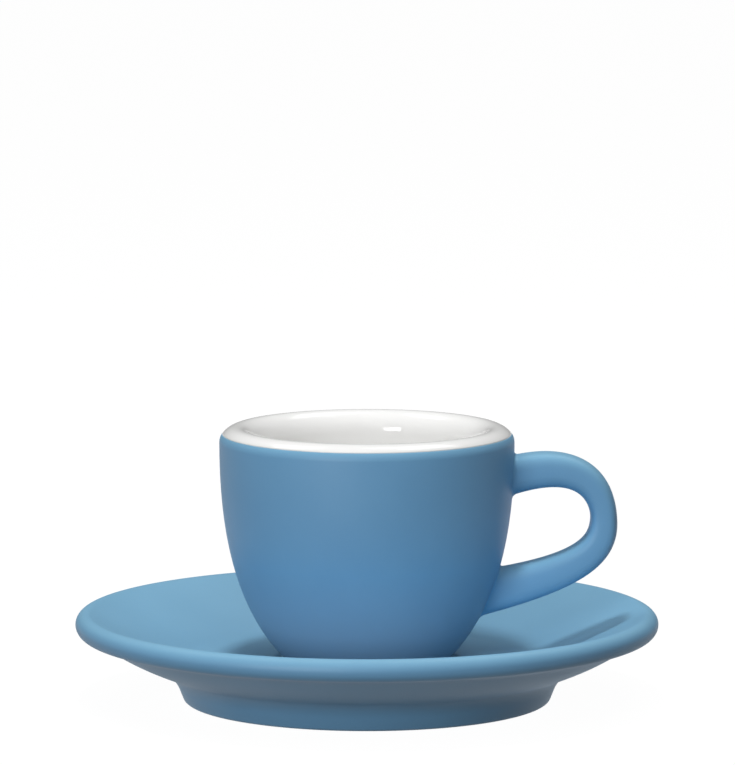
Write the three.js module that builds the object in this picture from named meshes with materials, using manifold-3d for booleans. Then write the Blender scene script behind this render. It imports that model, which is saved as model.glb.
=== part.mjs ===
// Espresso cup and saucer: a thick-walled turned cup with a loop handle, on a saucer with a rolled rim.
// Millimetres, +Z up. The origin is the centre of the saucer's foot, on the table.
// The handle points along +X.
import * as THREE from "three";
import { mergeVertices } from "three/addons/utils/BufferGeometryUtils.js";
import Module from "manifold-3d";

// Glaze and slip
const glazeCoat = 0.4;
const slipLayer = 0.3;
const bondGap = 0.1; // slip to bowl, so that their facets stay clear
const openingClearance = 0.3; // round each foot of the handle, where it goes through the glaze

// Saucer
const saucerDiameter = 120;
const saucerHeight = 18.3; // table to the crest of the rim
const rimRadius = 2.3; // full-round rolled rim
const rimUnderAngle = 4.7; // degrees, where the roll runs out underneath
const rimUnderPull = 3.7;
const dishAngle = 25; // degrees, slope of the dish inside
const dishBend = 12; // radius between the floor and the slope
const floorHeight = 8.4;
const wellDiameter = 37; // shallow seat that the cup stands in
const wellDepth = 0.5;
const wellSlope = 0.8; // width of its sloping edge
const saucerFootDiameter = 75.3; // at the table, before its edge is rounded
const saucerFootLean = 21.75; // degrees from upright
const saucerFootEdge = 1;
const saucerFootCove = 6.6;
const saucerLandWidth = 2.6; // bare ring that meets the table
const saucerLandProud = 0.1; // bare ring below the glaze
const saucerLandInset = 1.6; // foot corner to the bare ring
const saucerRecess = 3.8; // height of the recess inside the foot
const flankOffset = 4.95; // end of the flank, outside the foot corner
const flankHeight = 6.6;
const flankAngle = 20.8; // degrees, slope at that end
const flankPull = 11.8;

// Cup, with heights from its own foot
const cupDiameter = 60.6; // widest, just under the lip
const cupHeight = 48.85;
const lipRise = 3.2; // widest point to the crest
const lipOuterWidth = 3.7; // widest point in to the crest
const lipInnerWidth = 3.8; // crest in to the mouth wall
const lipInnerDrop = 4.6; // crest down to the mouth wall
const glazeEdgeDrop = 1.45; // crest down to where white meets blue
const insideBottom = 6.4; // height of the inside bottom
const insideWallPull = 30;
const insideBottomPull = 18;
const shoulderPull = 12.4;
const bellyOffset = 3.1; // end of the belly curve, outside the foot ring
const bellyHeight = 2.73;
const bellyAngle = 40.6; // degrees from upright
const bellyPull = 16;
const baseHeight = 1.2; // glazed base above the foot plane
const baseRound = 2.5;
const cupFootDiameter = 31.2; // bare foot ring
const cupLandWidth = 2.2;
const cupBareHeight = 0.5; // bare part of the ring's inner wall
const cupRecess = 2.4;
const recessRound = 0.8; // corner of both recesses
const recessDraft = 0.5; // inward slope of both recess walls

// Handle: a loop of rounded-square section along two curves that meet at the bend
const handleReach = 21.15; // widest point of the cup to the outside of the bend
const handleWidth = 8.4;
const handleSquareness = 3.4; // 2 is an ellipse
const handleSink = 3.8; // how far the curve's ends start inside the wall
const upperRootDrop = 11.35; // below the crest of the lip
const upperRootTilt = 20.1; // degrees
const upperRootPull = 21.7;
const upperRootThickness = 7.8;
const upperArmThickness = 7.15;
const bendDrop = 19.25;
const bendThickness = 5.55;
const bendTaper = 0.13; // thickness gained per mm past the bend
const bendUpperPull = 4;
const bendLowerPull = 6.4;
const lowerArmThickness = 6.3;
const lowerRootThickness = 9.35;
const lowerRootHeight = 13.9; // above the cup's foot
const lowerRootTilt = 11.1; // degrees
const lowerRootPull = 23.8;
const rootFillet = 1.1;

// Facets
const turnSegments = 32;
const sectionPoints = 20;
const armRings = 20;
const finestStep = 1e-6;
const weldDistance = 1e-4;

const rad = THREE.MathUtils.degToRad;
const at = (r, z) => new THREE.Vector2(r, z);
const range = (count) => [...Array(count).keys()];
const heading = (degrees) => at(Math.cos(rad(degrees)), Math.sin(rad(degrees)));

// Profiles are lists of (radius, height) points, walked with the clay on the right-hand side.

function bezier(start, startPull, endPull, end, steps) {
  return new THREE.CubicBezierCurve(start, startPull, endPull, end).getPoints(steps);
}

function ellipse(centre, radiusR, radiusZ, from, to, steps) {
  const curve = new THREE.EllipseCurve(centre.x, centre.y, radiusR, radiusZ, from, to, to < from);
  return curve.getPoints(steps);
}

// The arc that rounds a corner between two straight runs.
function rounded(from, corner, to, radius, steps) {
  const into = corner.clone().sub(from).normalize();
  const out = to.clone().sub(corner).normalize();
  const turn = Math.atan2(into.cross(out), into.dot(out));
  const start = corner.clone().addScaledVector(into, -radius * Math.tan(Math.abs(turn) / 2));
  const centre = at(-into.y, into.x).multiplyScalar(Math.sign(turn) * radius).add(start);
  return range(steps + 1).map((i) => start.clone().rotateAround(centre, (turn * i) / steps));
}

function joined(...runs) {
  const points = runs.flat();
  return points.filter((p, i) => i === 0 || p.distanceTo(points[i - 1]) > finestStep);
}

// A skin moved into the clay by a depth. A point on the axis stays on it.
function inset(skin, depth) {
  const mirrored = (p) => at(-p.x, p.y);
  return skin.map((p, i) => {
    const onAxis = p.x === 0;
    const before = skin[i - 1] ?? (onAxis ? mirrored(skin[i + 1]) : p);
    const after = skin[i + 1] ?? (onAxis ? mirrored(skin[i - 1]) : p);
    const along = after.clone().sub(before).normalize();
    return at(onAxis ? 0 : p.x + along.y * depth, p.y - along.x * depth);
  });
}

function turned(profile) {
  const closed = profile[0].x === 0 ? profile : [...profile, profile[0]];
  return new THREE.LatheGeometry(closed.slice().reverse(), turnSegments).rotateX(Math.PI / 2);
}

// A coat of glaze between a skin and the clay under it.
const coat = (skin, clay) => turned([...skin, ...clay.slice().reverse()]);

// Saucer

const rimCentre = at(saucerDiameter / 2 - rimRadius, saucerHeight - rimRadius);
const footCorner = at(saucerFootDiameter / 2, saucerLandProud);
const onRim = (degrees) => heading(degrees).multiplyScalar(rimRadius).add(rimCentre);
const landOuter = footCorner.x - saucerLandInset;
const landInner = landOuter - saucerLandWidth;

function saucerSkin() {
  const wellHeight = floorHeight - wellDepth;
  const wellEdge = at(wellDiameter / 2, wellHeight);
  const wellTop = at(wellEdge.x + wellSlope, floorHeight);
  const slopeTop = onRim(90 + dishAngle);
  const slopeRun = (slopeTop.y - floorHeight) / Math.tan(rad(dishAngle));
  const dishCorner = at(slopeTop.x - slopeRun, floorHeight);
  const flankTop = onRim(rimUnderAngle - 90);
  const flankEnd = at(footCorner.x + flankOffset, flankHeight);
  const flankHeading = heading(180 + flankAngle);
  const wallHeading = heading(90 - saucerFootLean);
  const gap = flankEnd.clone().sub(footCorner);
  const cornerReach = gap.cross(wallHeading) / wallHeading.cross(flankHeading);
  const coveCorner = flankEnd.clone().addScaledVector(flankHeading, cornerReach);
  const glazeEnd = at(landOuter, footCorner.y);
  return joined(
    [at(0, wellHeight), wellEdge, wellTop],
    rounded(wellTop, dishCorner, slopeTop, dishBend, 3),
    ellipse(rimCentre, rimRadius, rimRadius, rad(90 + dishAngle), 0, 5),
    ellipse(rimCentre, rimRadius, rimRadius, 0, rad(rimUnderAngle - 90), 3),
    bezier(
      flankTop,
      flankTop.clone().addScaledVector(heading(180 + rimUnderAngle), rimUnderPull),
      flankEnd.clone().addScaledVector(flankHeading, -flankPull),
      flankEnd,
      5,
    ),
    rounded(flankEnd, coveCorner, footCorner, saucerFootCove, 3),
    rounded(coveCorner, footCorner, glazeEnd, saucerFootEdge, 2),
    [glazeEnd],
  );
}

function recessSkin(radius, bareHeight, ceiling) {
  const start = at(radius, bareHeight);
  const corner = at(radius - recessDraft, ceiling);
  const middle = at(0, ceiling);
  return joined([start], rounded(start, corner, middle, recessRound, 2), [middle]);
}

function makeSaucer() {
  const skin = saucerSkin();
  const recess = recessSkin(landInner, saucerLandProud, saucerRecess);
  const clay = inset(skin, glazeCoat);
  const recessClay = inset(recess, glazeCoat);
  const land = [skin.at(-1), at(landOuter, 0), at(landInner, 0), recess[0]];
  return {
    body: turned(joined(clay, land, recessClay)),
    glaze: coat(skin, clay),
    baseGlaze: coat(recess, recessClay),
  };
}

// Cup bowl

const cupRadius = cupDiameter / 2;
const lipHeight = cupHeight - lipRise;
const crestRadius = cupRadius - lipOuterWidth;
const mouthRadius = crestRadius - lipInnerWidth;
const cupFootRadius = cupFootDiameter / 2;
const glazeEdgeAngle = Math.asin(1 - glazeEdgeDrop / lipRise);

function liningSkin() {
  const mouthHeight = cupHeight - lipInnerDrop;
  return joined(
    bezier(
      at(0, insideBottom),
      at(insideBottomPull, insideBottom),
      at(mouthRadius, mouthHeight - insideWallPull),
      at(mouthRadius, mouthHeight),
      7,
    ),
    ellipse(at(crestRadius, mouthHeight), lipInnerWidth, lipInnerDrop, Math.PI, Math.PI / 2, 4),
    ellipse(at(crestRadius, lipHeight), lipOuterWidth, lipRise, Math.PI / 2, glazeEdgeAngle, 2),
  );
}

function outsideSkin() {
  const bellyEnd = at(cupFootRadius + bellyOffset, bellyHeight);
  const bellyHeading = heading(270 - bellyAngle);
  const baseReach = (bellyHeight - baseHeight) / -bellyHeading.y;
  const baseCorner = bellyEnd.clone().addScaledVector(bellyHeading, baseReach);
  const glazeEnd = at(cupFootRadius, baseHeight);
  return joined(
    ellipse(at(crestRadius, lipHeight), lipOuterWidth, lipRise, glazeEdgeAngle, 0, 2),
    bezier(
      at(cupRadius, lipHeight),
      at(cupRadius, lipHeight - shoulderPull),
      bellyEnd.clone().addScaledVector(bellyHeading, -bellyPull),
      bellyEnd,
      8,
    ),
    rounded(bellyEnd, baseCorner, glazeEnd, baseRound, 2),
    [glazeEnd],
  );
}

const lining = liningSkin();
const outside = outsideSkin();
const cupClay = inset(joined(lining, outside), glazeCoat);
const liningClay = cupClay.slice(0, lining.length);
const outsideClay = cupClay.slice(lining.length - 1);

// Radius of the bare bowl's outside at a height.
function bowlRadius(height) {
  const i = outsideClay.findIndex((p) => p.y <= height);
  const [above, below] = [outsideClay[i - 1], outsideClay[i]];
  return THREE.MathUtils.mapLinear(height, above.y, below.y, above.x, below.x);
}

function makeBowl() {
  const ringInner = cupFootRadius - cupLandWidth;
  const recess = recessSkin(ringInner, cupBareHeight, cupRecess);
  const recessClay = inset(recess, glazeCoat);
  const land = [outside.at(-1), at(cupFootRadius, 0), at(ringInner, 0), recess[0]];
  return {
    body: turned(joined(cupClay, land, recessClay)),
    lining: coat(lining, liningClay),
    glaze: coat(outside, outsideClay),
    baseGlaze: coat(recess, recessClay),
  };
}

// Handle

// A closed solid through rings of points, with a single point to close each end.
// Each four-sided face is split along its shorter diagonal, so two solids that share rings share facets.
function loft(startPoint, rings, endPoint) {
  const count = rings[0].length;
  const points = [startPoint, ...rings.flat(), endPoint];
  const ringPoint = (ring, k) => 1 + ring * count + (k % count);
  const last = points.length - 1;
  const faces = [];
  for (const k of range(count)) {
    faces.push(0, ringPoint(0, k + 1), ringPoint(0, k));
    for (const ring of range(rings.length - 1)) {
      const [a, b] = [ringPoint(ring, k), ringPoint(ring, k + 1)];
      const [c, d] = [ringPoint(ring + 1, k), ringPoint(ring + 1, k + 1)];
      const shorter = points[a].distanceTo(points[d]) < points[b].distanceTo(points[c]);
      faces.push(...(shorter ? [a, b, d, a, d, c] : [a, b, c, b, d, c]));
    }
    faces.push(last, ringPoint(rings.length - 1, k), ringPoint(rings.length - 1, k + 1));
  }
  return new THREE.BufferGeometry().setFromPoints(points).setIndex(faces);
}

// The two curves hold the centre line in x and z, and the loop's thickness in y.
function handleCurves() {
  const node = (x, thickness, z) => new THREE.Vector3(x, thickness, z);
  const upperZ = cupHeight - upperRootDrop;
  const upperX = bowlRadius(upperZ) - handleSink;
  const lowerX = bowlRadius(lowerRootHeight) - handleSink;
  const bendX = cupRadius + handleReach - bendThickness / 2;
  const bendZ = cupHeight - bendDrop;
  const upperPull = heading(upperRootTilt).multiplyScalar(upperRootPull);
  const lowerPull = heading(lowerRootTilt).multiplyScalar(lowerRootPull);
  const bend = node(bendX, bendThickness, bendZ);
  return [
    new THREE.CubicBezierCurve3(
      node(upperX, upperRootThickness, upperZ),
      node(upperX + upperPull.x, upperArmThickness, upperZ + upperPull.y),
      node(bendX, bendThickness - bendTaper * bendUpperPull, bendZ + bendUpperPull),
      bend,
    ),
    new THREE.CubicBezierCurve3(
      bend,
      node(bendX, bendThickness + bendTaper * bendLowerPull, bendZ - bendLowerPull),
      node(lowerX + lowerPull.x, lowerArmThickness, lowerRootHeight + lowerPull.y),
      node(lowerX, lowerRootThickness, lowerRootHeight),
    ),
  ];
}

const [upperArm, lowerArm] = handleCurves();
const power = (value) => Math.sign(value) * Math.abs(value) ** (2 / handleSquareness);

// A point on the handle's surface. t runs from 0 at the upper root, past 1 at the bend,
// to 2 at the lower root, and turn goes round the section.
function onHandle(t, turn) {
  const arm = t < 1 ? upperArm : lowerArm;
  const centre = arm.getPoint(t < 1 ? t : t - 1);
  const along = arm.getTangent(t < 1 ? t : t - 1).setY(0).normalize();
  const outward = (power(Math.cos(turn)) * centre.y) / 2;
  const across = (-power(Math.sin(turn)) * handleWidth) / 2;
  return new THREE.Vector3(centre.x - along.z * outward, across, centre.z + along.x * outward);
}

// A point moved straight in or out to stand off the bare bowl.
function onBowl(point, standOff) {
  const scale = (bowlRadius(point.z) + standOff) / Math.hypot(point.x, point.y);
  return new THREE.Vector3(point.x * scale, point.y * scale, point.z);
}

// Where a line along the handle's surface comes out of the bowl, from a t in the wall to a t in the open.
function leavesBowl(turn, inWall, inOpen) {
  let [hidden, clear] = [inWall, inOpen];
  while (Math.abs(clear - hidden) > finestStep) {
    const middle = (hidden + clear) / 2;
    const point = onHandle(middle, turn);
    const isClear = Math.hypot(point.x, point.y) > bowlRadius(point.z) + slipLayer;
    if (isClear) clear = middle;
    else hidden = middle;
  }
  return clear;
}

const turns = range(sectionPoints).map((k) => (2 * Math.PI * k) / sectionPoints);

// One root of the handle: the foot that flares on to the bowl, and where each line of the loop leaves it.
function makeRoot(inWall, inOpen) {
  const meets = turns.map((turn) => leavesBowl(turn, inWall, inOpen));
  const corners = turns.map((turn, k) => onHandle(meets[k], turn));
  const middle = corners.reduce((sum, p) => sum.add(p), new THREE.Vector3()).divideScalar(sectionPoints);
  const foot = corners.map((p) => {
    const outward = p.clone().sub(middle).normalize();
    return onBowl(p.clone().addScaledVector(outward, rootFillet), slipLayer);
  });
  const step = (inOpen - inWall) / 1000;
  const starts = turns.map((turn, k) => {
    const speed = onHandle(meets[k] + step, turn).distanceTo(corners[k]) / Math.abs(step);
    return meets[k] + (Math.sign(step) * rootFillet) / speed;
  });
  const flare = (share) =>
    turns.map((turn, k) =>
      new THREE.QuadraticBezierCurve3(foot[k], corners[k], onHandle(starts[k], turn)).getPoint(share),
    );
  const footRing = (share, standOff) => foot.map((p) => onBowl(middle.clone().lerp(p, share), standOff));
  const alongHandle = (inner, outer) => (inOpen > inWall ? [inner, outer] : [outer, inner]);
  return { middle, foot, starts, flare, footRing, alongHandle };
}

const upperRoot = makeRoot(0, 0.5);
const lowerRoot = makeRoot(2, 1.5);
const capShares = [1 / 3, 2 / 3, 1];
const flareShares = [1 / 3, 2 / 3];

function makeHandle() {
  const arm = range(armRings + 1).map((i) =>
    turns.map((turn, k) =>
      onHandle(THREE.MathUtils.lerp(upperRoot.starts[k], lowerRoot.starts[k], i / armRings), turn),
    ),
  );
  const cap = (root) => capShares.map((share) => root.footRing(share, slipLayer));
  const flares = (root) => flareShares.map((share) => root.flare(share));
  return loft(
    onBowl(upperRoot.middle, slipLayer),
    [
      ...cap(upperRoot),
      ...flares(upperRoot),
      ...arm,
      ...flares(lowerRoot).reverse(),
      ...cap(lowerRoot).reverse(),
    ],
    onBowl(lowerRoot.middle, slipLayer),
  );
}

// A pad of slip between the bowl and one foot of the handle.
function makeSlip(root) {
  const [first, last] = root.alongHandle(bondGap, slipLayer);
  const rings = (standOff) => capShares.map((share) => root.footRing(share, standOff));
  return loft(
    onBowl(root.middle, first),
    [...rings(first), ...rings(last).reverse()],
    onBowl(root.middle, last),
  );
}

// The hole in the glaze that one foot of the handle goes through.
function makeOpening(root) {
  const depth = 2 * glazeCoat + slipLayer;
  const [first, last] = root.alongHandle(-depth, depth);
  const wide = root.foot.map((p) => {
    const outward = p.clone().sub(root.middle).normalize();
    return p.clone().addScaledVector(outward, openingClearance);
  });
  const ring = (standOff) => wide.map((p) => onBowl(p, standOff));
  return loft(onBowl(root.middle, first), [ring(first), ring(last)], onBowl(root.middle, last));
}

const wasm = await Module();
wasm.setup();

function solid(geometry) {
  const bare = geometry.clone().deleteAttribute("normal").deleteAttribute("uv");
  const merged = mergeVertices(bare, weldDistance);
  const vertProperties = merged.attributes.position.array;
  return new wasm.Manifold(
    new wasm.Mesh({ numProp: 3, vertProperties, triVerts: new Uint32Array(merged.index.array) }),
  );
}

function geometryOf(manifold) {
  const mesh = manifold.getMesh();
  return new THREE.BufferGeometry()
    .setAttribute("position", new THREE.BufferAttribute(mesh.vertProperties, 3))
    .setIndex(new THREE.BufferAttribute(mesh.triVerts, 1));
}

// Assembly

const blueGlaze = new THREE.MeshStandardMaterial({ color: 0x5f98c8, roughness: 0.55 });
const whiteGlaze = new THREE.MeshStandardMaterial({ color: 0xf2f1ee, roughness: 0.1 });
const porcelain = new THREE.MeshStandardMaterial({ color: 0xe9e5dc, roughness: 0.8 });

function named(name, geometry, material) {
  const mesh = new THREE.Mesh(geometry, material);
  mesh.name = name;
  return mesh;
}

const saucerParts = makeSaucer();
const saucer = new THREE.Group().add(
  named("saucer_body", saucerParts.body, porcelain),
  named("saucer_glaze", saucerParts.glaze, blueGlaze),
  named("saucer_base_glaze", saucerParts.baseGlaze, blueGlaze),
);

const bowl = makeBowl();
const openings = [upperRoot, lowerRoot].map((root) => solid(makeOpening(root)));
const openGlaze = openings.reduce((glaze, opening) => glaze.subtract(opening), solid(bowl.glaze));
const cup = new THREE.Group().add(
  named("cup_body", bowl.body, porcelain),
  named("cup_lining", bowl.lining, whiteGlaze),
  named("cup_glaze", geometryOf(openGlaze), blueGlaze),
  named("cup_base_glaze", bowl.baseGlaze, blueGlaze),
  named("handle", makeHandle(), blueGlaze),
  named("handle_slip_upper", makeSlip(upperRoot), porcelain),
  named("handle_slip_lower", makeSlip(lowerRoot), porcelain),
);
cup.position.z = floorHeight - wellDepth;

export default new THREE.Group().add(saucer, cup);
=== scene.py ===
"""An espresso cup and saucer in matt blue glaze, with a white gloss lining, on a white studio floor."""

import bpy
import math
from mathutils import Matrix, Vector
from mathutils.geometry import interpolate_bezier


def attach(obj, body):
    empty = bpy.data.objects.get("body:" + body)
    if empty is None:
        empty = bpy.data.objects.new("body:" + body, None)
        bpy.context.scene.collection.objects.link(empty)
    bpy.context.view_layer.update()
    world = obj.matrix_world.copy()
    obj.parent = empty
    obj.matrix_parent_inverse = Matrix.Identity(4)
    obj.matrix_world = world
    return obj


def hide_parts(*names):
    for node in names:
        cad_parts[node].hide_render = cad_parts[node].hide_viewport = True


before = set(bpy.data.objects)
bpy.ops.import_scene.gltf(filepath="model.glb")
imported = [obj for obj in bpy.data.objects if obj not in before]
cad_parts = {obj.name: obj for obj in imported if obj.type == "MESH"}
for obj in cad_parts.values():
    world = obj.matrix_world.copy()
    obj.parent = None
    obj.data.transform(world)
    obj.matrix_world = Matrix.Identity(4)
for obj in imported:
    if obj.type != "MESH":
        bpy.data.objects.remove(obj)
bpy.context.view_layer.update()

# Sizes are in millimetres, from the saucer's foot on the table, and turn into metres in the meshes.
MM = 0.001

# Glaze and clay: sizes, and colours in pairs between which each finish wanders
glaze_coat = 0.4
# Painted shade: from its seat up to this height, the cup's glaze is painted greyer and darker in place
# of the shade under its belly.
painted_shade_top = 30.0
painted_shade_colour = (0.235, 0.325, 0.430)
# The tone for faces that look up is painted light from above; the side tone is the glaze's own blue.
blue_on_sides = (0.180, 0.425, 0.695), (0.192, 0.445, 0.715)
blue_painted_lit_tops = (0.212, 0.452, 0.636), (0.224, 0.470, 0.656)
blue_grain = (0.214, 0.464, 0.700)
blue_refraction = 1.5
white_lining = (0.940, 0.939, 0.928), (0.956, 0.955, 0.945)
white_refraction = 1.52
clay_colours = (0.80, 0.775, 0.72), (0.62, 0.585, 0.52)

# Saucer
saucer_radius = 60.0
saucer_height = 18.3
rim_radius = 2.3
rim_under_angle = 4.7
rim_under_pull = 3.7
dish_angle = 25.0
dish_bend = 12.0
floor_height = 8.4
well_radius = 18.5
well_depth = 0.5
well_slope = 0.8
well_round = 1.4
well_round_reach = 0.6
saucer_foot_radius = 37.65
saucer_foot_lean = 21.75
saucer_foot_edge = 1.0
saucer_foot_cove = 6.6
saucer_land_proud = 0.1
saucer_land_outer = 36.05
saucer_land_inner = 33.45
saucer_land_edge = 0.15
saucer_recess = 3.8
flank_end = Vector((42.6, 6.6))
flank_angle = 20.8
flank_pull = 11.8

# Cup, with heights from its own foot, which stands in the saucer's well
cup_seat = floor_height - well_depth
cup_radius = 30.3
cup_height = 48.85
lip_rise = 3.2
lip_outer_width = 3.7
lip_inner_width = 3.8
lip_inner_drop = 4.6
glaze_edge_drop = 1.45
inside_bottom = 6.4
inside_wall_pull = 30.0
inside_bottom_pull = 18.0
shoulder_pull = 12.4
belly_end = Vector((18.7, 2.73))
belly_angle = 40.6
belly_pull = 16.0
base_height = 1.2
base_round = 2.5
cup_foot_radius = 15.6
cup_foot_inner = 13.4
cup_foot_outer_edge = 0.35
cup_foot_inner_edge = 0.2
cup_bare_height = 0.5
cup_recess = 2.4
recess_round = 0.8
recess_draft = 0.5

# Handle
handle_reach = 51.45
handle_width = 8.4
handle_squareness = 3.4
upper_root = Vector((25.86, 37.5))
upper_root_tilt = 20.1
upper_root_pull = 21.7
bend_height = 29.6
bend_upper_pull = 4.0
bend_lower_pull = 6.4
lower_root = Vector((21.08, 13.9))
lower_root_tilt = 11.1
lower_root_pull = 23.8
bend_thickness = 5.55
bend_taper = 0.13
upper_root_thickness = 7.8
upper_arm_thickness = 7.15
lower_arm_thickness = 6.3
lower_root_thickness = 9.35
root_fillet = 1.1
root_sink = 0.03

# Studio, in metres and watts
floor_half = 6.0
floor_drop = 0.00005
floor_glow = 0.98
floor_mirrored = 0.9
floor_paper = (0.05, 0.05, 0.05, 1)
sky_glow = 0.13
lamp_distance = 0.9
lamp_target = Vector((0.0, 0.0, 0.03))
camera_place = (0.00012, -1.2961, 0.2337)
camera_tilt = 7.38
camera_lens = 300
camera_film = 36
camera_sight = 50

# Fineness of the meshes
turn_steps = 256
section_steps = 72
arm_steps = 120
fillet_steps = 12
root_halvings = 40
same_point = 1e-4
on_axis = 1e-6
weld_distance = 2e-7


# Profiles are lists of (radius, height) points, walked with the clay on the right-hand side.

def heading(degrees):
    return Vector((math.cos(math.radians(degrees)), math.sin(math.radians(degrees))))


def bezier(start, start_pull, end_pull, end, steps):
    return [Vector(p[:2]) for p in interpolate_bezier(start, start_pull, end_pull, end, steps + 1)]


def ellipse(centre, radius_r, radius_z, start, end, steps):
    points = []
    for i in range(steps + 1):
        turn = heading(start + (end - start) * i / steps)
        points.append(Vector((centre.x + radius_r * turn.x, centre.y + radius_z * turn.y)))
    return points


def rounded(before, corner, after, radius, steps):
    into = (corner - before).normalized()
    out = (after - corner).normalized()
    turn = math.atan2(into.cross(out), into.dot(out))
    start = corner - into * radius * math.tan(abs(turn) / 2)
    centre = start + Vector((-into.y, into.x)) * math.copysign(radius, turn)
    return [centre + Matrix.Rotation(turn * i / steps, 2) @ (start - centre) for i in range(steps + 1)]


def straight(start, end, steps):
    return [start.lerp(end, i / steps) for i in range(steps + 1)]


def joined(*runs):
    points = []
    for run in runs:
        for p in run:
            if not points or (p - points[-1]).length > same_point:
                points.append(p)
    return points


def inset(skin, depth):
    moved = []
    for i, p in enumerate(skin):
        before = skin[max(i - 1, 0)]
        after = skin[min(i + 1, len(skin) - 1)]
        way = (after - before).normalized()
        if p.x < on_axis:
            moved.append(Vector((0.0, p.y - math.copysign(depth, way.x))))
        else:
            moved.append(Vector((p.x + way.y * depth, p.y - way.x * depth)))
    return moved


def coat(skin, clay):
    loop = joined(skin, list(reversed(clay)))
    return loop if loop[0].x < on_axis or loop[-1].x < on_axis else loop + [loop[0]]


# Saucer profile

rim_centre = Vector((saucer_radius - rim_radius, saucer_height - rim_radius))
foot_corner = Vector((saucer_foot_radius, saucer_land_proud))


def saucer_skin():
    well_floor = Vector((0.0, floor_height - well_depth))
    well_edge = Vector((well_radius, well_floor.y))
    well_top = Vector((well_radius + well_slope, floor_height))
    slope_top = rim_centre + heading(90 + dish_angle) * rim_radius
    slope_run = (slope_top.y - floor_height) / math.tan(math.radians(dish_angle))
    dish_corner = Vector((slope_top.x - slope_run, floor_height))
    flank_top = rim_centre + heading(rim_under_angle - 90) * rim_radius
    flank_way = heading(180 + flank_angle)
    wall_way = heading(90 - saucer_foot_lean)
    corner_reach = (flank_end - foot_corner).cross(wall_way) / wall_way.cross(flank_way)
    cove_corner = flank_end + flank_way * corner_reach
    land_edge = Vector((saucer_land_outer, foot_corner.y))
    return joined(
        straight(well_floor, well_edge - Vector((well_round_reach, 0)), 12),
        rounded(well_floor, well_edge, well_top, well_round, 6),
        rounded(well_edge, well_top, dish_corner, well_round, 6),
        rounded(well_top, dish_corner, slope_top, dish_bend, 14),
        ellipse(rim_centre, rim_radius, rim_radius, 90 + dish_angle, rim_under_angle - 90, 40),
        bezier(flank_top, flank_top + heading(180 + rim_under_angle) * rim_under_pull,
               flank_end - flank_way * flank_pull, flank_end, 24),
        rounded(flank_end, cove_corner, foot_corner, saucer_foot_cove, 16),
        rounded(cove_corner, foot_corner, land_edge, saucer_foot_edge, 8),
        [land_edge],
    )


def recess_skin(radius, bare_height, ceiling):
    start = Vector((radius, bare_height))
    corner = Vector((radius - recess_draft, ceiling))
    middle = Vector((0.0, ceiling))
    edge = rounded(start, corner, middle, recess_round, 8)
    return joined([start], edge, straight(edge[-1], middle, 10))


# Cup profile

lip_height = cup_height - lip_rise
crest_radius = cup_radius - lip_outer_width
mouth_radius = crest_radius - lip_inner_width
glaze_edge_angle = math.degrees(math.asin(1 - glaze_edge_drop / lip_rise))


def lining_skin():
    mouth = Vector((mouth_radius, cup_height - lip_inner_drop))
    bottom = Vector((0.0, inside_bottom))
    return joined(
        bezier(bottom, bottom + Vector((inside_bottom_pull, 0)),
               mouth - Vector((0, inside_wall_pull)), mouth, 48),
        ellipse(Vector((crest_radius, mouth.y)), lip_inner_width, lip_inner_drop, 180, 90, 20),
        ellipse(Vector((crest_radius, lip_height)), lip_outer_width, lip_rise, 90, glaze_edge_angle, 12),
    )


def outside_skin():
    shoulder = Vector((cup_radius, lip_height))
    belly_way = heading(270 - belly_angle)
    base_corner = belly_end + belly_way * ((belly_end.y - base_height) / -belly_way.y)
    ring_edge = Vector((cup_foot_radius, base_height))
    return joined(
        ellipse(Vector((crest_radius, lip_height)), lip_outer_width, lip_rise, glaze_edge_angle, 0, 12),
        bezier(shoulder, shoulder - Vector((0, shoulder_pull)),
               belly_end - belly_way * belly_pull, belly_end, 48),
        rounded(belly_end, base_corner, ring_edge, base_round, 8),
        [ring_edge],
    )


def lifted(profile, height):
    return [p + Vector((0.0, height)) for p in profile]


# Turning a profile round the axis

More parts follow.
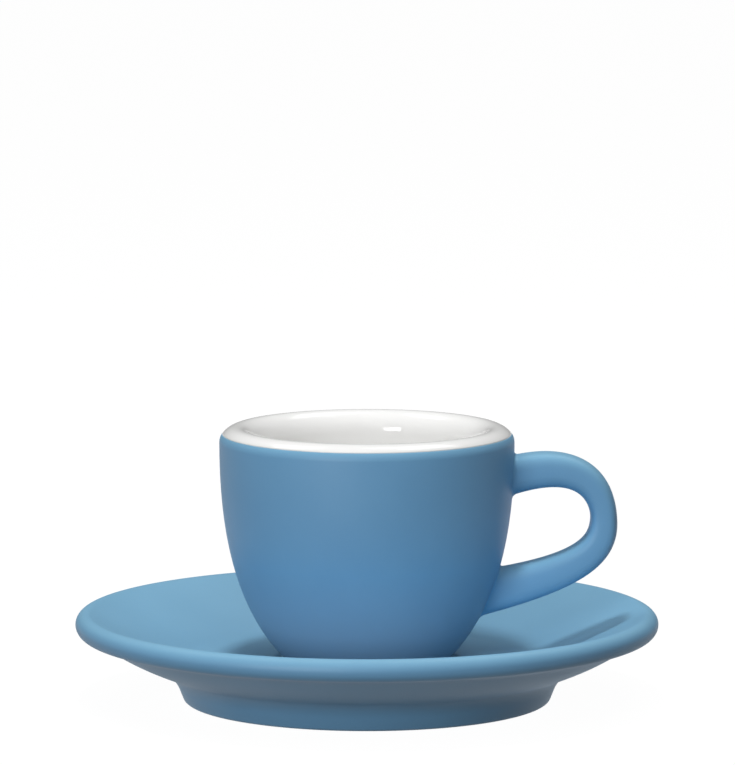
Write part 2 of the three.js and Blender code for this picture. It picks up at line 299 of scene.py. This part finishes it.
def turning_tree():
    tree = bpy.data.node_groups.new("turned_on_the_wheel", "GeometryNodeTree")
    sockets = tree.interface
    sockets.new_socket("Profile", in_out="INPUT", socket_type="NodeSocketGeometry")
    sockets.new_socket("Steps round", in_out="INPUT", socket_type="NodeSocketInt")
    sockets.new_socket("Finish", in_out="INPUT", socket_type="NodeSocketMaterial")
    sockets.new_socket("Piece", in_out="OUTPUT", socket_type="NodeSocketGeometry")

    def node(kind, **settings):
        made = tree.nodes.new(kind)
        for name, value in settings.items():
            setattr(made, name, value)
        return made

    def join(output, target):
        tree.links.new(output, target)

    def maths(operation, first, second=None):
        made = node("ShaderNodeMath", operation=operation)
        for socket, value in zip(made.inputs, (first, second)):
            if isinstance(value, (int, float)):
                socket.default_value = value
            elif value is not None:
                join(value, socket)
        return made.outputs[0]

    given = node("NodeGroupInput").outputs
    size = node("GeometryNodeAttributeDomainSize", component="MESH")
    join(given["Profile"], size.inputs[0])
    rows_round = maths("ADD", given["Steps round"], 1)
    grid = node("GeometryNodeMeshGrid")
    join(size.outputs["Point Count"], grid.inputs["Vertices X"])
    join(rows_round, grid.inputs["Vertices Y"])
    index = node("GeometryNodeInputIndex").outputs[0]
    profile_point = maths("FLOOR", maths("DIVIDE", maths("ADD", index, 0.5), rows_round))
    step = maths("SUBTRACT", index, maths("MULTIPLY", profile_point, rows_round))
    angle = maths("DIVIDE", maths("MULTIPLY", step, 2 * math.pi), given["Steps round"])
    sample = node("GeometryNodeSampleIndex", data_type="FLOAT_VECTOR", domain="POINT")
    join(given["Profile"], sample.inputs["Geometry"])
    join(node("GeometryNodeInputPosition").outputs[0], sample.inputs["Value"])
    join(profile_point, sample.inputs["Index"])
    turn = node("ShaderNodeVectorRotate", rotation_type="Z_AXIS")
    join(sample.outputs[0], turn.inputs["Vector"])
    join(angle, turn.inputs["Angle"])
    place = node("GeometryNodeSetPosition")
    join(grid.outputs["Mesh"], place.inputs["Geometry"])
    join(turn.outputs[0], place.inputs["Position"])
    weld = node("GeometryNodeMergeByDistance")
    weld.inputs["Distance"].default_value = weld_distance
    join(place.outputs[0], weld.inputs["Geometry"])
    smooth = node("GeometryNodeSetShadeSmooth")
    join(weld.outputs[0], smooth.inputs["Geometry"])
    whole = node("GeometryNodeRealizeInstances")
    join(smooth.outputs[0], whole.inputs["Geometry"])
    finish = node("GeometryNodeSetMaterial")
    join(whole.outputs[0], finish.inputs["Geometry"])
    join(given["Finish"], finish.inputs["Material"])
    join(finish.outputs[0], node("NodeGroupOutput").inputs["Piece"])
    return tree


wheel = turning_tree()


def show(name, mesh):
    piece = bpy.data.objects.new(name, mesh)
    bpy.context.scene.collection.objects.link(piece)
    return piece


def turned(name, profile, material):
    edge_line = bpy.data.meshes.new(name + "_profile")
    points = [(p.x * MM, 0.0, p.y * MM) for p in profile]
    edge_line.from_pydata(points, [(i, i + 1) for i in range(len(points) - 1)], [])
    piece = show(name, edge_line)
    turning = piece.modifiers.new("turning", "NODES")
    turning.node_group = wheel
    inputs = {item.name: item.identifier
              for item in wheel.interface.items_tree if item.in_out == "INPUT"}
    turning[inputs["Steps round"]] = turn_steps
    turning[inputs["Finish"]] = material
    bpy.context.view_layer.update()
    evaluated = piece.evaluated_get(bpy.context.evaluated_depsgraph_get())
    mesh = bpy.data.meshes.new_from_object(evaluated)
    mesh.name = name
    piece.modifiers.clear()
    piece.data = mesh
    bpy.data.meshes.remove(edge_line)
    return piece


# Handle

outside = outside_skin()


def skin_radius(height):
    for above, below in zip(outside, outside[1:]):
        if below.y <= height:
            share = (height - above.y) / (below.y - above.y)
            return above.x + (below.x - above.x) * share
    return outside[-1].x


def on_skin(point, stand_off):
    radius = skin_radius(point.z) + stand_off
    around = Vector((point.x, point.y)).normalized() * radius
    return Vector((around.x, around.y, point.z))


def handle_arms():
    bend_x = handle_reach - bend_thickness / 2

    def knot(x, thickness, z):
        return Vector((x, thickness, z))

    upper_way = heading(upper_root_tilt) * upper_root_pull
    lower_way = heading(lower_root_tilt) * lower_root_pull
    bend = knot(bend_x, bend_thickness, bend_height)
    upper = (
        knot(upper_root.x, upper_root_thickness, upper_root.y),
        knot(upper_root.x + upper_way.x, upper_arm_thickness, upper_root.y + upper_way.y),
        knot(bend_x, bend_thickness - bend_taper * bend_upper_pull, bend_height + bend_upper_pull),
        bend,
    )
    lower = (
        bend,
        knot(bend_x, bend_thickness + bend_taper * bend_lower_pull, bend_height - bend_lower_pull),
        knot(lower_root.x + lower_way.x, lower_arm_thickness, lower_root.y + lower_way.y),
        knot(lower_root.x, lower_root_thickness, lower_root.y),
    )
    return upper, lower


arms = handle_arms()


def on_arm(t):
    a, b, c, d = arms[0] if t < 1 else arms[1]
    t = t if t < 1 else t - 1
    s = 1 - t
    centre = a * s ** 3 + b * 3 * s * s * t + c * 3 * s * t * t + d * t ** 3
    way = (b - a) * s * s + (c - b) * 2 * s * t + (d - c) * t * t
    return centre, Vector((way.x, way.z)).normalized()


def squared(value):
    return math.copysign(abs(value) ** (2 / handle_squareness), value)


def on_handle(t, turn):
    centre, way = on_arm(t)
    outward = squared(math.cos(turn)) * centre.y / 2
    across = -squared(math.sin(turn)) * handle_width / 2
    return Vector((centre.x - way.y * outward, across, centre.z + way.x * outward))


def leaves_skin(turn, in_wall, in_open):
    hidden, clear = in_wall, in_open
    for _ in range(root_halvings):
        middle = (hidden + clear) / 2
        p = on_handle(middle, turn)
        if math.hypot(p.x, p.y) > skin_radius(p.z):
            clear = middle
        else:
            hidden = middle
    return clear


turns = [2 * math.pi * k / section_steps for k in range(section_steps)]


def handle_root(in_wall, in_open):
    meets = [leaves_skin(turn, in_wall, in_open) for turn in turns]
    corners = [on_handle(t, turn) for t, turn in zip(meets, turns)]
    middle = sum(corners, Vector()) / section_steps
    foot = [on_skin(p + (p - middle).normalized() * root_fillet, -root_sink) for p in corners]
    step = (in_open - in_wall) / 1000
    starts = []
    for t, turn, corner in zip(meets, turns, corners):
        speed = (on_handle(t + step, turn) - corner).length / abs(step)
        starts.append(t + math.copysign(root_fillet / speed, step))
    rings = []
    for i in range(fillet_steps):
        s = i / fillet_steps
        rings.append([
            b * (1 - s) ** 2 + c * 2 * s * (1 - s) + on_handle(t, turn) * s * s
            for b, c, t, turn in zip(foot, corners, starts, turns)
        ])
    return rings, starts, on_skin(middle, -glaze_coat)


def make_handle(name, material):
    upper_rings, upper_starts, upper_middle = handle_root(0.0, 0.5)
    lower_rings, lower_starts, lower_middle = handle_root(2.0, 1.5)
    arm_rings = []
    for i in range(arm_steps + 1):
        share = i / arm_steps
        arm_rings.append([
            on_handle(a + (b - a) * share, turn) for a, b, turn in zip(upper_starts, lower_starts, turns)
        ])
    rings = upper_rings + arm_rings + list(reversed(lower_rings))
    points = [p for ring in rings for p in ring] + [upper_middle, lower_middle]
    first, last = len(points) - 2, len(points) - 1
    base = (len(rings) - 1) * section_steps
    faces = []
    for k in range(section_steps):
        following = (k + 1) % section_steps
        faces.append((first, following, k))
        faces.append((last, base + k, base + following))
        for row in range(0, base, section_steps):
            above = row + section_steps
            faces.append((row + k, row + following, above + following, above + k))
    mesh = bpy.data.meshes.new(name)
    mesh.from_pydata([(p.x * MM, p.y * MM, (p.z + cup_seat) * MM) for p in points], [], faces)
    mesh.materials.append(material)
    mesh.shade_smooth()
    feet = {k for k in range(section_steps)} | {base + k for k in range(section_steps)}
    for edge in mesh.edges:
        edge.use_edge_sharp = all(v in feet for v in edge.vertices)
    return show(name, mesh)


# Finishes

class Finish:
    """A material built node by node on the piece's own coordinates."""

    def __init__(self, name):
        self.material = bpy.data.materials.new(name)
        self.material.use_nodes = True
        self.tree = self.material.node_tree
        self.shader = self.tree.nodes["Principled BSDF"]
        coordinates = self.node("ShaderNodeTexCoord").outputs
        self.place = coordinates["Object"]
        self.facing = coordinates["Normal"]

    def node(self, kind, **settings):
        made = self.tree.nodes.new(kind)
        for name, value in settings.items():
            setattr(made, name, value)
        return made

    def join(self, output, target):
        self.tree.links.new(output, target)

    def refracts(self, index):
        self.shader.inputs["IOR"].default_value = index

    def noise(self, size_mm, detail, roughness=0.5):
        made = self.node("ShaderNodeTexNoise")
        made.inputs["Scale"].default_value = 1 / (size_mm * MM)
        made.inputs["Detail"].default_value = detail
        made.inputs["Roughness"].default_value = roughness
        self.join(self.place, made.inputs["Vector"])
        return made.outputs["Fac"]

    def span(self, value, low, high, start=0.3, end=0.7):
        made = self.node("ShaderNodeMapRange")
        self.join(value, made.inputs["Value"])
        for name, number in (("From Min", start), ("From Max", end), ("To Min", low), ("To Max", high)):
            made.inputs[name].default_value = number
        return made.outputs["Result"]

    def blend(self, share, first, second):
        made = self.node("ShaderNodeMix", data_type="RGBA")
        sockets = made.inputs[0], made.inputs[6], made.inputs[7]
        for socket, value in zip(sockets, (share, first, second)):
            if isinstance(value, tuple):
                socket.default_value = (*value, 1.0)
            else:
                self.join(value, socket)
        return made.outputs[2]

    def bump(self, height, depth_mm, before=None):
        made = self.node("ShaderNodeBump")
        made.inputs["Distance"].default_value = depth_mm * MM
        self.join(height, made.inputs["Height"])
        if before is not None:
            self.join(before, made.inputs["Normal"])
        return made.outputs["Normal"]


def blue_matt_glaze(name, shade_top=None):
    """Matt blue, with painted top light (a paler, more cyan tone on faces that look up) and, when a top
    height is given, painted shade that greys it towards the cup's foot.
    """
    finish = Finish(name)
    cloud = finish.span(finish.noise(14, 3), 0.0, 1.0)
    grain = finish.span(finish.noise(0.35, 2), 0.0, 1.0)
    facing = finish.node("ShaderNodeSeparateXYZ")
    finish.join(finish.facing, facing.inputs[0])
    # Painted top light: faces that look up blend towards the paler, more cyan tone.
    painted_top_light_share = finish.span(facing.outputs["Z"], 0.0, 1.0, 0.0, 0.9)
    side = finish.blend(cloud, *blue_on_sides)
    top = finish.blend(cloud, *blue_painted_lit_tops)
    tone = finish.blend(painted_top_light_share, side, top)
    tone = finish.blend(finish.span(grain, 0.0, 0.25, 0.2, 1.0), tone, blue_grain)
    # Painted shade: the tone greys and darkens from the cup's seat up to the given top height, standing
    # in for shade under the belly.
    if shade_top is not None:
        height = finish.node("ShaderNodeSeparateXYZ")
        finish.join(finish.place, height.inputs[0])
        painted_shade_share = finish.span(height.outputs["Z"], 1.0, 0.0, cup_seat * MM, shade_top * MM)
        tone = finish.blend(painted_shade_share, tone, painted_shade_colour)
    finish.join(tone, finish.shader.inputs["Base Color"])
    finish.join(finish.span(grain, 0.46, 0.54, 0.0, 1.0), finish.shader.inputs["Roughness"])
    swell = finish.bump(finish.noise(18, 1), 0.05)
    finish.join(finish.bump(grain, 0.004, swell), finish.shader.inputs["Normal"])
    finish.refracts(blue_refraction)
    return finish.material


def white_gloss_glaze():
    finish = Finish("white_gloss_glaze")
    cloud = finish.span(finish.noise(10, 2), 0.0, 1.0)
    finish.join(finish.blend(cloud, *white_lining), finish.shader.inputs["Base Color"])
    finish.join(finish.span(finish.noise(3, 2), 0.05, 0.09), finish.shader.inputs["Roughness"])
    finish.join(finish.bump(finish.noise(9, 1), 0.03), finish.shader.inputs["Normal"])
    finish.refracts(white_refraction)
    return finish.material


def bare_porcelain():
    finish = Finish("bare_porcelain")
    speck = finish.span(finish.noise(0.5, 3, 0.65), 0.0, 1.0, 0.55, 0.75)
    finish.join(finish.blend(speck, *clay_colours), finish.shader.inputs["Base Color"])
    finish.join(finish.span(speck, 0.70, 0.85, 0.0, 1.0), finish.shader.inputs["Roughness"])
    finish.join(finish.bump(finish.noise(0.2, 3), 0.02), finish.shader.inputs["Normal"])
    return finish.material


blue = blue_matt_glaze("blue_matt_glaze")
cup_blue = blue_matt_glaze("cup_blue_matt_glaze", painted_shade_top)
white = white_gloss_glaze()
clay_finish = bare_porcelain()


# The pieces, each on its body and in the place of its solid

def seat(piece, body, solids):
    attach(piece, body)
    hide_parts(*solids)


def make_saucer():
    skin = saucer_skin()
    recess = recess_skin(saucer_land_inner, saucer_land_proud, saucer_recess)
    ring_outer, ring_inner = Vector((saucer_land_outer, 0)), Vector((saucer_land_inner, 0))
    clay = inset(skin, glaze_coat)
    recess_clay = inset(recess, glaze_coat)
    foot_ring = joined(
        [skin[-1]],
        rounded(skin[-1], ring_outer, ring_inner, saucer_land_edge, 4),
        rounded(ring_outer, ring_inner, recess[0], saucer_land_edge, 4),
        [recess[0]],
    )
    plate = turned("saucer_plate", joined(clay, foot_ring, recess_clay), clay_finish)
    seat(plate, "saucer", ["saucer_body"])
    top = turned("saucer_blue_glaze", coat(skin, clay), blue)
    seat(top, "saucer", ["saucer_glaze"])
    under = turned("saucer_base_blue_glaze", coat(recess, recess_clay), blue)
    seat(under, "saucer", ["saucer_base_glaze"])


def make_cup():
    lining = lining_skin()
    clay = inset(joined(lining, outside), glaze_coat)
    lining_clay = clay[:len(lining)]
    outside_clay = clay[len(lining) - 1:]
    recess = recess_skin(cup_foot_inner, cup_bare_height, cup_recess)
    ring_outer, ring_inner = Vector((cup_foot_radius, 0)), Vector((cup_foot_inner, 0))
    recess_clay = inset(recess, glaze_coat)
    foot_ring = joined(
        [outside[-1]],
        rounded(outside[-1], ring_outer, ring_inner, cup_foot_outer_edge, 5),
        rounded(ring_outer, ring_inner, recess[0], cup_foot_inner_edge, 5),
        [recess[0]],
    )

    def cup_piece(name, profile, material, solids):
        seat(turned(name, lifted(profile, cup_seat), material), "cup", solids)

    bowl = joined(clay, foot_ring, recess_clay)
    base = coat(recess, recess_clay)
    cup_piece("cup_bowl", bowl, clay_finish, ["cup_body"])
    cup_piece("cup_white_lining", coat(lining, lining_clay), white, ["cup_lining"])
    cup_piece("cup_blue_glaze", coat(outside, outside_clay), cup_blue, ["cup_glaze"])
    cup_piece("cup_base_blue_glaze", base, blue, ["cup_base_glaze"])
    handle_solids = ["handle", "handle_slip_upper", "handle_slip_lower"]
    seat(make_handle("cup_handle", blue), "cup", handle_solids)


make_saucer()
make_cup()


# Studio: white floor, soft light, camera

def paper_floor():
    """White where it is seen, apart from the object's shadow, but throws back little light."""
    material = bpy.data.materials.new("white_floor")
    material.use_nodes = True
    tree = material.node_tree
    tree.nodes.clear()

    def node(kind, **inputs):
        made = tree.nodes.new(kind)
        for name, value in inputs.items():
            made.inputs[name].default_value = value
        return made

    path = node("ShaderNodeLightPath")
    strength = None
    for ray, glow in (("Is Camera Ray", floor_glow), ("Is Glossy Ray", floor_mirrored),
                      ("Is Transmission Ray", floor_mirrored)):
        step = node("ShaderNodeMath")
        step.operation = "MULTIPLY_ADD"
        step.inputs[1].default_value = glow
        step.inputs[2].default_value = 0.0
        tree.links.new(path.outputs[ray], step.inputs[0])
        if strength is not None:
            tree.links.new(strength, step.inputs[2])
        strength = step.outputs[0]
    shine = node("ShaderNodeEmission")
    tree.links.new(strength, shine.inputs["Strength"])
    paper = node("ShaderNodeBsdfDiffuse", Color=floor_paper)
    both = node("ShaderNodeAddShader")
    tree.links.new(shine.outputs[0], both.inputs[0])
    tree.links.new(paper.outputs[0], both.inputs[1])
    tree.links.new(both.outputs[0], node("ShaderNodeOutputMaterial").inputs["Surface"])
    return material


def make_floor():
    mesh = bpy.data.meshes.new("floor")
    signs = (-1, -1), (1, -1), (1, 1), (-1, 1)
    corners = [(x * floor_half, y * floor_half, -floor_drop) for x, y in signs]
    mesh.from_pydata(corners, [], [(0, 1, 2, 3)])
    mesh.materials.append(paper_floor())
    show("floor", mesh)


def make_sky():
    world = bpy.data.worlds.new("studio")
    bpy.context.scene.world = world
    world.use_nodes = True
    sky = world.node_tree.nodes["Background"]
    sky.inputs["Color"].default_value = (1, 1, 1, 1)
    sky.inputs["Strength"].default_value = sky_glow


def softbox(name, azimuth, elevation, width, power, mirrored=True):
    """A square lamp facing the cup; azimuth runs from the camera's side towards the handle's."""
    turn, rise = math.radians(azimuth), math.radians(elevation)
    away = Vector((math.sin(turn) * math.cos(rise), -math.cos(turn) * math.cos(rise), math.sin(rise)))
    lamp = bpy.data.lights.new(name, "AREA")
    lamp.size = width
    lamp.energy = power
    stand = bpy.data.objects.new(name, lamp)
    stand.location = lamp_target + away * lamp_distance
    stand.visible_glossy = mirrored
    stand.rotation_euler = away.to_track_quat("Z", "Y").to_euler()
    bpy.context.scene.collection.objects.link(stand)


def make_camera():
    lens = bpy.data.cameras.new("camera")
    lens.lens = camera_lens
    lens.sensor_width = camera_film
    lens.clip_end = camera_sight
    camera = bpy.data.objects.new("camera", lens)
    camera.location = camera_place
    camera.rotation_euler = (math.radians(90 - camera_tilt), 0, 0)
    bpy.context.scene.collection.objects.link(camera)
    bpy.context.scene.camera = camera


make_floor()
make_sky()
softbox("key_softbox", -25, 82, 0.1, 3.6, mirrored=False)
softbox("front_high_softbox", 8, 48, 0.42, 1.6, mirrored=False)
softbox("front_left_softbox", -27, 12, 0.3, 2.4)
softbox("right_back_softbox", 140, 65, 0.42, 1.2)
softbox("left_back_softbox", 235, 60, 0.3, 0.8)
make_camera()
bpy.context.scene.view_settings.view_transform = "Standard"
